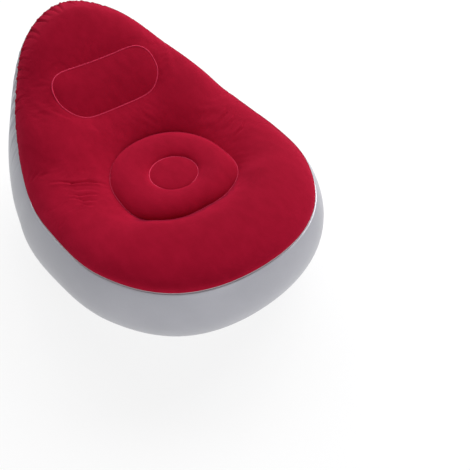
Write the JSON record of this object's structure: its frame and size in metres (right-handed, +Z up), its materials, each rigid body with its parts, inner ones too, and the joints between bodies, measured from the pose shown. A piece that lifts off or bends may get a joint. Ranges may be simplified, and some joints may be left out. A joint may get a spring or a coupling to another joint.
{
  "type": "inflatable lounge chair",
  "caption": "Egg-shaped inflatable lounge chair with a flocked red seat, bolster and raised back on a smooth silver wall, with an air valve low on the back.",
  "frame": {"origin": "middle of the bounding box, on the ground", "axes": "+Z up, -Y to the front where the sitter's legs go, +Y to the raised back, +X to the sitter's left"},
  "size_m": [0.9918, 1.3035, 0.6542],
  "materials": {
    "flocked_sheet": "short velvet flock on vinyl",
    "flocked_weld": "flock pressed flat by the weld",
    "silver_vinyl": "satin silver vinyl sheet",
    "silver_weld": "welded vinyl edge",
    "web_vinyl": "plain vinyl sheet",
    "valve_vinyl": "soft moulded vinyl",
    "valve_plastic": "moulded, satin",
    "valve_rubber": "soft silicone"
  },
  "bodies": {
    "chair": {"top_panel": "flocked_sheet", "side_wall": "silver_vinyl", "base_panel": "silver_vinyl", "seat_ring_web": "web_vinyl", "seat_centre_tube": "web_vinyl", "headrest_web": "web_vinyl", "seat_ring_weld": "flocked_weld", "seat_centre_weld": "flocked_weld", "headrest_weld": "flocked_weld", "rim_weld": "silver_weld", "base_weld": "silver_weld", "valve_flange": "valve_vinyl", "plug_strap": "valve_vinyl"},
    "plug": {"valve_plug": "valve_plastic", "valve_seal": "valve_rubber"},
    "cap": {"valve_cap": "valve_plastic"},
    "flap": {"valve_flap": "valve_rubber"}
  },
  "joints": [
    {"name": "plug_pull", "type": "slide", "parent": "chair", "child": "plug", "axis": [0, 0.9906, -0.1371], "range_m": [0, 0.02]},
    {"name": "cap_hinge", "type": "hinge", "parent": "plug", "child": "cap", "pos_m": [0.021, 0.64712, 0.13823], "axis": [0, -0.1371, -0.9906], "range_deg": [0, 150]},
    {"name": "flap_lift", "type": "slide", "parent": "plug", "child": "flap", "axis": [0, -0.9906, 0.1371], "range_m": [0, 0.0025], "stiffness_N_per_m": 20}
  ]
}
